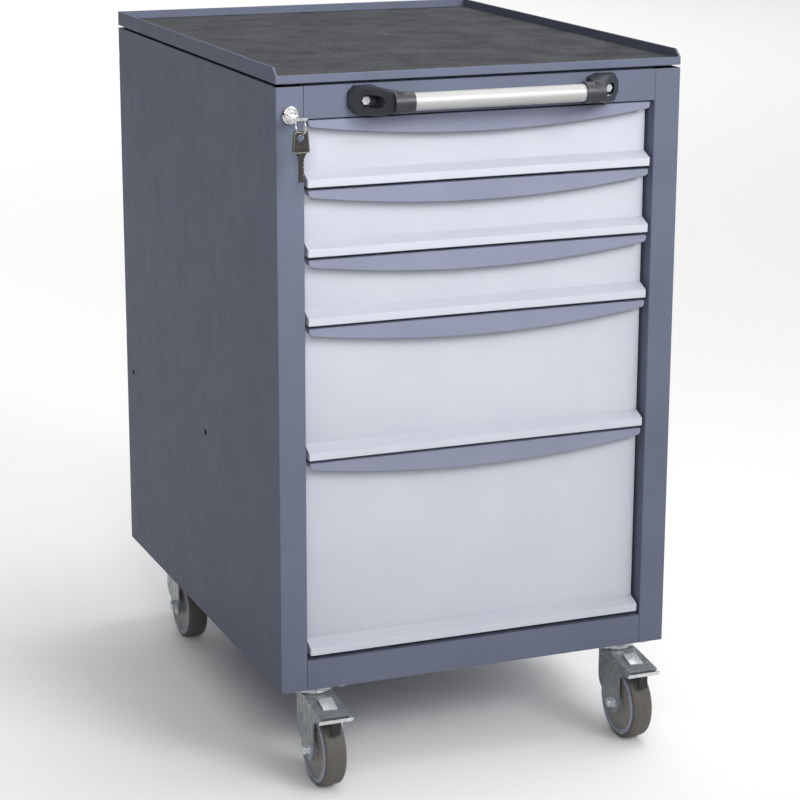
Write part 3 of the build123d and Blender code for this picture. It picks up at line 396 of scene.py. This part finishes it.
def outward(obj):
    """Merge doubled points and make every face point outwards."""
    work = bmesh.new()
    work.from_mesh(obj.data)
    bmesh.ops.remove_doubles(work, verts=work.verts, dist=MADE_MERGE)
    bmesh.ops.recalc_face_normals(work, faces=work.faces)
    work.to_mesh(obj.data)
    work.free()


def rounded_copy(node, radius_mm, segments=2):
    """A copy of a CAD node with its doubled points merged and its edges rounded by radius_mm."""
    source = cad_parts[node]
    mesh = source.data.copy()
    obj = bpy.data.objects.new(node + "_worked", mesh)
    bpy.context.collection.objects.link(obj)
    work = bmesh.new()
    work.from_mesh(mesh)
    bmesh.ops.remove_doubles(work, verts=work.verts, dist=CAD_MERGE)
    bmesh.ops.dissolve_limit(work, angle_limit=math.radians(FLAT), verts=work.verts, edges=work.edges)
    work.to_mesh(mesh)
    work.free()
    bevel = obj.modifiers.new("rounded edges", "BEVEL")
    bevel.width = radius_mm * MM
    bevel.segments = segments
    bevel.limit_method = "ANGLE"
    bevel.angle_limit = math.radians(CAD_SHARP)
    bevel.harden_normals = True
    smooth(obj, CAD_SHARP)
    return obj


def bead(name, path, radius_mm, flat, steps=8):
    """A round bead along a closed path of points (metres) in a plane square to the direction flat.

    Each point is path + radius * (cos t * side + sin t * flat); side is square to the path and to flat.
    """
    path, flat = np.asarray(path, float), np.array(Vector(flat).normalized())
    ahead = np.roll(path, -1, 0) - np.roll(path, 1, 0)
    side = np.cross(ahead, flat)
    side /= np.linalg.norm(side, axis=1, keepdims=True)
    t = np.linspace(0, 2 * math.pi, steps, endpoint=False)[None, :, None]
    points = path[:, None, :] + radius_mm * MM * (np.cos(t) * side[:, None, :] + np.sin(t) * flat)
    obj = mesh_piece(name, points.reshape(-1, 3), grid_faces(len(path), steps, True))
    outward(obj)
    smooth(obj, BEAD_SHARP)
    return obj


def mirrored(profile, side, out=0.0):
    """A half profile moved out by some mm, on the left (-1) or right (1)."""
    return [(side * (along + out), radius) for along, radius in profile]


def both_sides(profile):
    """A closed profile from a half profile and its mirror image."""
    return [*profile, *mirrored(profile, -1)[::-1]]


def paint_below(obj, height, slot_number):
    """Give the faces whose middles are lower than the height another of the object's materials."""
    mesh = obj.data
    centres = np.empty(len(mesh.polygons) * 3)
    mesh.polygons.foreach_get("center", centres)
    chosen = (centres.reshape(-1, 3)[:, 2] < height).astype(np.int32) * slot_number
    mesh.polygons.foreach_set("material_index", chosen)
    mesh.update()


def low(node):
    """Lowest corner of a CAD node."""
    return Vector(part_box(node)[0])


def high(node):
    """Highest corner of a CAD node."""
    return Vector(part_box(node)[1])


def middle(node):
    """Middle of a CAD node's box."""
    return (low(node) + high(node)) / 2


# ---------------------------------------------------------------- paths of the ring and the key's rim


def ring_path():
    """Middle line of the key ring's wire: a circle through the two keys' holes, square to RING_AXIS."""
    radius = (high("key_ring").z - low("key_ring").z) / 2 - RING_CAD_WIRE * MM
    t = np.linspace(0, 2 * math.pi, RING_POINTS, endpoint=False)[:, None]
    across = np.array([-math.sin(RING_TURN), math.cos(RING_TURN), 0.0])
    return np.array(middle("key_ring")) + radius * (np.cos(t) * np.array([0, 0, 1.0]) + np.sin(t) * across)


def key_rim(side):
    """Path of the raised rim round the spare key's bow, on its front (-1) or back (1) face."""
    start, end = low("spare_key"), high("spare_key")
    corners = np.array(BOW_SHAPE)
    share = np.linspace(0, 1, BOW_POINTS, endpoint=False)[:, None]
    following = np.roll(corners, -1, 0)
    outline = (corners[:, None] * (1 - share) + following[:, None] * share).reshape(-1, 2)
    height = (end.z - start.z) * BOW_PART
    x = middle("spare_key").x + outline[:, 0] * (end.x - start.x)
    z = end.z - height + outline[:, 1] * height
    y = np.full_like(x, end.y if side > 0 else start.y) - side * RIM_SINK * MM
    return np.stack([x, y, z], -1)


# ---------------------------------------------------------------- lights and surroundings


def look_at(obj, target):
    """Turn a camera or lamp so that it faces the target."""
    obj.rotation_euler = (Vector(target) - obj.location).to_track_quat("-Z", "Y").to_euler()


def softbox(name, place, target, width, power, beam):
    """A square soft light facing the target, its beam spread in degrees."""
    data = bpy.data.lights.new(name, "AREA")
    data.shape = "RECTANGLE"
    data.size = data.size_y = width
    data.energy = power
    data.spread = math.radians(beam)
    obj = bpy.data.objects.new(name, data)
    obj.location = place
    obj.visible_camera = False
    bpy.context.collection.objects.link(obj)
    look_at(obj, target)


def surroundings():
    """A pale studio all round: bright overhead and to the front right, dim on the left and near the floor.

    A camera sees it at full strength; 0, 2 and 3 are the Mix node's factor and number sockets.
    """
    world = bpy.data.worlds.new("pale surroundings")
    world.use_nodes = True
    tree = world.node_tree
    direction = add(tree, "TexCoord").outputs["Generated"]
    side = add(tree, "VectorMath", {0: direction, 1: LIT_SIDE}, operation="DOT_PRODUCT").outputs["Value"]
    ramp = {"Value": side, "From Min": DIM_UNTIL, "From Max": BRIGHT_FROM, "To Min": DIM, "To Max": BRIGHT}
    light = add(tree, "MapRange", ramp, interpolation_type="SMOOTHSTEP").outputs["Result"]
    seen = add(tree, "LightPath").outputs["Is Camera Ray"]
    strength = add(tree, "Mix", {0: seen, 2: light, 3: 1.0}, data_type="FLOAT").outputs[0]
    tree.links.new(strength, tree.nodes["Background"].inputs["Strength"])
    tree.nodes["Background"].inputs["Color"].default_value = (1.0, 1.0, 1.0, 1.0)
    return world


# ---------------------------------------------------------------- sizes and colours a user would change


class WorkbenchFinish(bpy.types.PropertyGroup):
    """Colours of the bench's paints and its mat, as sRGB hex text."""

    cabinet: bpy.props.StringProperty(
        name="Cabinet paint", description="Main colour of the cabinet", default="#606576")
    cabinet_shade: bpy.props.StringProperty(
        name="Cabinet clouding", description="Colour that the cabinet's paint drifts to", default="#5B6070")
    drawer: bpy.props.StringProperty(
        name="Drawer paint", description="Main colour of the drawers", default="#B4B7C0")
    drawer_shade: bpy.props.StringProperty(
        name="Drawer clouding", description="Colour that the drawers' paint drifts to", default="#B0B3BD")
    mat: bpy.props.StringProperty(
        name="Mat rubber", description="Main colour of the mat", default="#212225")
    mat_dust: bpy.props.StringProperty(
        name="Mat bloom", description="Colour of the chalky bloom on the mat", default="#4B4D52")


class WorkbenchSizes(bpy.types.PropertyGroup):
    """Small sizes that are worked on top of the frame."""

    sheet_round: bpy.props.FloatProperty(
        name="Sheet edge radius", description="Rounding of painted edges", default=0.0007, unit="LENGTH")
    floor_size: bpy.props.FloatProperty(
        name="Floor size", description="Width of the studio floor", default=44.0, unit="LENGTH")
    wheel_steps: bpy.props.IntProperty(
        name="Wheel steps", description="Facets round a wheel", default=96, min=24, max=256)


def finish_of(context):
    """The scene's colours."""
    return context.scene.workbench_finish


def sizes_of(context):
    """The scene's small sizes."""
    return context.scene.workbench_sizes


def part_of_drawer(number, part):
    """Name of a drawer's CAD node."""
    return f"drawer_{number}_{part}"


# ---------------------------------------------------------------- operators


class WORKBENCH_OT_cabinet(bpy.types.Operator):
    """Powder-coated cabinet sheets and tray with rounded folds, black discs of painted shade in the holes,
    and galvanised inner posts.
    """

    bl_idname = "workbench.cabinet"
    bl_label = "Cabinet"

    def execute(self, context):
        colours = finish_of(context)
        radius = sizes_of(context).sheet_round / MM
        paint = powder_coat("powder_coated_steel_slate", colours.cabinet, colours.cabinet_shade)
        for node in ("left_side", "right_side", "top_rail", "bottom_rail", "back_panel", "bottom_panel"):
            sheet = rounded_copy(node, radius * CABINET_ROUND)
            finish_piece(sheet, "cabinet", paint, "cabinet_paint", node)
        finish_piece(rounded_copy("tray_top", radius), "cabinet", paint, "tray_paint", "tray_top")
        # painted shade: flush black discs with almost no gloss fill the holes and slots so that their insides
        # look dark
        black = moulded_nylon("black_painted_shade_in_holes", "#050506", "#0B0B0C", 0.8, 0.6, 0.05)
        start, end = low("left_side"), high("left_side")
        for side, mark in ((1, "left"), (-1, "right")):
            for number, (back, up) in enumerate(SIDE_HOLES, 1):
                place = (side * start.x, start.y + back * MM, start.z + up * MM)
                plug = turned(f"{mark}_side_hole_shade_{number}", HOLE_SHADE_DISC, place, (side, 0, 0), SHADE_DISC_STEPS)
                finish_piece(plug, "cabinet", black, "bracket_plastic")
            for number, up in enumerate(CORNER_SLOTS, 1):
                place = (side * (start.x + SLOT_IN * MM), end.y - SLOT_IN * MM, start.z + up * MM)
                plug = turned(f"{mark}_corner_slot_shade_{number}", SLOT_SHADE_DISC, place, (0, 0, 1), SHADE_DISC_STEPS)
                finish_piece(plug, "cabinet", black, "bracket_plastic")
        zinc = galvanised("galvanised_sheet", "#8F9497", "#777C80")
        for node in ("rear_posts", "lock_bar"):
            repaint(node, zinc)
        return {"FINISHED"}


class WORKBENCH_OT_drawers(bpy.types.Operator):
    """Five drawers: light powder-coated fronts and boxes, zinc-plated slides, and pulls in the cabinet's
    slate paint made lighter, which is painted light.
    """

    bl_idname = "workbench.drawers"
    bl_label = "Drawers"

    def execute(self, context):
        colours = finish_of(context)
        radius = sizes_of(context).sheet_round / MM
        light = powder_coat("powder_coated_steel_light_grey", colours.drawer, colours.drawer_shade, 1.4)
        # painted light: the pulls carry the cabinet's slate paint, made lighter here to stand in for the
        # light they catch
        slate = powder_coat("powder_coated_steel_pull_painted_lighter", "#7A7E90", "#74788A", 1.4)
        rolled = zinc_plate("bright_zinc_plated_rolled_steel", "#A5A8AB", "#8F949A", 0.3, 20)
        for number in DRAWERS:
            body = f"drawer_{number}"
            front, pull = part_of_drawer(number, "front"), part_of_drawer(number, "pull")
            finish_piece(rounded_copy(front, radius), body, light, "drawer_paint", front)
            finish_piece(rounded_copy(pull, radius * PULL_ROUND), body, slate, "pull_paint", pull)
            repaint(part_of_drawer(number, "box"), light)
            repaint(part_of_drawer(number, "slides"), rolled)
        repaint("cabinet_slides", rolled)
        return {"FINISHED"}


class WORKBENCH_OT_mat(bpy.types.Operator):
    """The tray's loose rubber mat."""

    bl_idname = "workbench.mat"
    bl_label = "Mat"

    def execute(self, context):
        colours = finish_of(context)
        repaint("rubber_mat", pebbled_rubber("epdm_matting", colours.mat, colours.mat_dust, "#131415"))
        return {"FINISHED"}


class WORKBENCH_OT_handle(bpy.types.Operator):
    """Push handle: satin tube, nylon brackets and zinc-plated bolts."""

    bl_idname = "workbench.handle"
    bl_label = "Handle"

    def execute(self, context):
        tube = satin_aluminium("anodised_aluminium_tube", "#A9A9A8", "#989999")
        grip = rounded_copy("handle_tube", ROUND["tube"])
        finish_piece(grip, "cabinet", tube, "tube_metal", "handle_tube")
        nylon = moulded_nylon("glass_filled_nylon", "#1C1E25", "#2A2D36", 0.46)
        for node in ("handle_bracket_left", "handle_bracket_right"):
            bracket = rounded_copy(node, ROUND["bracket"], FINE)
            finish_piece(bracket, "cabinet", nylon, "bracket_plastic", node)
        bolts = zinc_plate("zinc_plated_bolt", "#DFE1E2", "#B9BDC1", 0.24, 3, 0.6)
        bolt_pair = rounded_copy("handle_bolts", ROUND["handle bolt"], FINE)
        finish_piece(bolt_pair, "cabinet", bolts, "bolt_steel", "handle_bolts")
        return {"FINISHED"}


class WORKBENCH_OT_lock(bpy.types.Operator):
    """Cam lock, keys and ring."""

    bl_idname = "workbench.lock"
    bl_label = "Lock and keys"

    def execute(self, context):
        bright = polished_nickel("polished_nickel_chrome", "#E8E8E8")
        dark = zinc_plate("dark_nickel_plated_key", "#47443E", "#2F2D29", 0.38, 4)
        # the raised rim round the spare key's bow is given a lighter colour than the key's face
        second_colour = zinc_plate("dark_nickel_plated_key_lighter_rim", "#9A9892", "#7C7A74", 0.3, 5)
        for node in ("lock_housing", "lock_plug"):
            piece = rounded_copy(node, ROUND["lock"], FINE)
            finish_piece(piece, BODY_OF_LOCK[node], bright, "lock_chrome", node)
        wire = bead("key_ring_wire", ring_path(), RING_WIRE, RING_AXIS, 12)
        finish_piece(wire, "ring_on_key", bright, "lock_chrome", "key_ring")
        for node, metal in (("key_in_lock", bright), ("spare_key", dark)):
            piece = rounded_copy(node, ROUND["key"], FINE)
            finish_piece(piece, BODY_OF_LOCK[node], metal, "key_metal", node)
        for side in (-1, 1):
            mark = "front" if side < 0 else "back"
            rim = bead(f"spare_key_rim_{mark}", key_rim(side), RIM_WIRE, (0, 1, 0))
            finish_piece(rim, "hanging_key", second_colour, "key_metal")
        return {"FINISHED"}


class WORKBENCH_OT_castors(bpy.types.Operator):
    """Four castors: pressed zinc-plated forks, grey wheel centres, rubber tyres, bolts and brake pedals."""

    bl_idname = "workbench.castors"
    bl_label = "Castors"

    def execute(self, context):
        steps = sizes_of(context).wheel_steps
        # painted reflection, in part: the forks' drift to a dark teal is partly the blue passivation and
        # partly a painted reflection of the cabinet's dark underside
        pressed = zinc_plate("zinc_plated_pressed_steel_tint_and_painted_reflection", "#B6B6B2", "#7C8890", 0.32, 7, 0.66)
        bright = zinc_plate("bright_zinc_plated_steel", "#DFE1E2", "#C3C8CC", 0.26, 6, 0.6)
        ring = moulded_nylon("moulded_blue_grey_polypropylene", "#8E95A5", "#848B9B", 0.3, 1.2)
        guard = moulded_nylon("moulded_grey_polypropylene_guard", "#85827D", "#77746F", 0.4, 1.2)
        rubber = moulded_rubber("moulded_grey_rubber", "#46433F", "#5B5853")
        shoe = moulded_nylon("moulded_black_brake_shoe", "#0E0E10", "#19191C", 0.45, 0.6)
        plates = rounded_copy("castor_plates", ROUND["plate"])
        finish_piece(plates, "cabinet", bright, "castor_zinc", "castor_plates")
        bolts = rounded_copy("castor_bolts", ROUND["bolt"])
        finish_piece(bolts, "cabinet", bright, "bolt_steel", "castor_bolts")
        for name in CASTORS:
            body = name + "_castor"
            fork = rounded_copy(name + "_fork", ROUND["fork"], FINE)
            finish_piece(fork, body, pressed, "castor_zinc", name + "_fork")
            axle = rounded_copy(name + "_axle", ROUND["axle"])
            finish_piece(axle, body, bright, "bolt_steel", name + "_axle")
            centre = middle(name + "_tyre")
            for side in (-1, 1):
                mark = "left" if side < 0 else "right"
                outside = mirrored(WASHER, side, FORK_OUTSIDE)
                washer = turned(f"{name}_washer_{mark}", outside, centre, (1, 0, 0), WASHER_STEPS)
                finish_piece(washer, body, bright, "bolt_steel")
                disc = turned(f"{name}_guard_{mark}", mirrored(GUARD, side), centre, (1, 0, 0), steps)
                finish_piece(disc, name + "_wheel", guard, "wheel_plastic")
            rim = turned(name + "_wheel_turned", both_sides(WHEEL_RIM), centre, (1, 0, 0), steps)
            finish_piece(rim, name + "_wheel", ring, "wheel_plastic", name + "_wheel")
            tyre = turned(name + "_tyre_turned", both_sides(TYRE), centre, (1, 0, 0), steps)
            finish_piece(tyre, name + "_wheel", rubber, "tyre_rubber", name + "_tyre")
        for name in BRAKED:
            node = name + "_brake_pedal"
            pedal = rounded_copy(node, ROUND["pedal"])
            finish_piece(pedal, name + "_brake", bright, "pedal_steel", node)
            pedal.data.materials.append(shoe)
            paint_below(pedal, low(node).z + SHOE_H * MM, 1)
        return {"FINISHED"}


class WORKBENCH_OT_studio(bpy.types.Operator):
    """Pale floor, soft studio lights, pale surroundings and the camera."""

    bl_idname = "workbench.studio"
    bl_label = "Studio"

    def execute(self, context):
        size = sizes_of(context).floor_size
        rows = np.linspace(-size / 2, size / 2, 3)
        x, y = np.meshgrid(rows, rows, indexing="ij")
        floor = mesh_piece("floor", np.stack([x, y, np.zeros_like(x)], -1).reshape(-1, 3), grid_faces(3, 3))
        floor.data.materials.append(studio_paper("seamless_paper", "#F6F6F5"))
        for light in LIGHTS:
            softbox(*light)
        context.scene.world = surroundings()
        context.scene.view_settings.view_transform = "Standard"
        data = bpy.data.cameras.new("camera")
        data.lens, data.sensor_width = CAMERA_LENS, FILM_WIDTH
        camera = bpy.data.objects.new("camera", data)
        lower_edge = Vector((0.0, low("left_side").y, low("left_side").z))
        camera.location = lower_edge + Vector(CAMERA_PLACE)
        yaw, pitch, roll = (math.radians(a) for a in CAMERA_TURN)
        ahead = Vector((math.sin(yaw) * math.cos(pitch), math.cos(yaw) * math.cos(pitch), -math.sin(pitch)))
        camera.rotation_mode = "QUATERNION"
        camera.rotation_quaternion = Quaternion(ahead, -roll) @ ahead.to_track_quat("-Z", "Y")
        context.collection.objects.link(camera)
        context.scene.camera = camera
        return {"FINISHED"}


OPERATORS = (
    WORKBENCH_OT_cabinet,
    WORKBENCH_OT_drawers,
    WORKBENCH_OT_mat,
    WORKBENCH_OT_handle,
    WORKBENCH_OT_lock,
    WORKBENCH_OT_castors,
    WORKBENCH_OT_studio,
)


class WORKBENCH_PT_sidebar(bpy.types.Panel):
    """The bench's pieces and finishes."""

    bl_idname = "WORKBENCH_PT_sidebar"
    bl_label = "Workbench"
    bl_space_type = "VIEW_3D"
    bl_region_type = "UI"
    bl_category = "Workbench"

    def draw(self, context):
        for group in (finish_of(context), sizes_of(context)):
            for name in group.bl_rna.properties.keys():
                if name not in ("rna_type", "name"):
                    self.layout.prop(group, name)
        for operator in OPERATORS:
            self.layout.operator(operator.bl_idname)


CLASSES = (WorkbenchFinish, WorkbenchSizes, *OPERATORS, WORKBENCH_PT_sidebar)


def register():
    """Register the classes and the scene's properties."""
    for kind in CLASSES:
        bpy.utils.register_class(kind)
    bpy.types.Scene.workbench_finish = bpy.props.PointerProperty(type=WorkbenchFinish)
    bpy.types.Scene.workbench_sizes = bpy.props.PointerProperty(type=WorkbenchSizes)


def unregister():
    """Take the classes and the scene's properties out again."""
    del bpy.types.Scene.workbench_finish
    del bpy.types.Scene.workbench_sizes
    for kind in reversed(CLASSES):
        bpy.utils.unregister_class(kind)


def main():
    """Build every piece in order."""
    register()
    for operator in OPERATORS:
        group, name = operator.bl_idname.split(".")
        getattr(getattr(bpy.ops, group), name)()


if __name__ == "__main__":
    main()
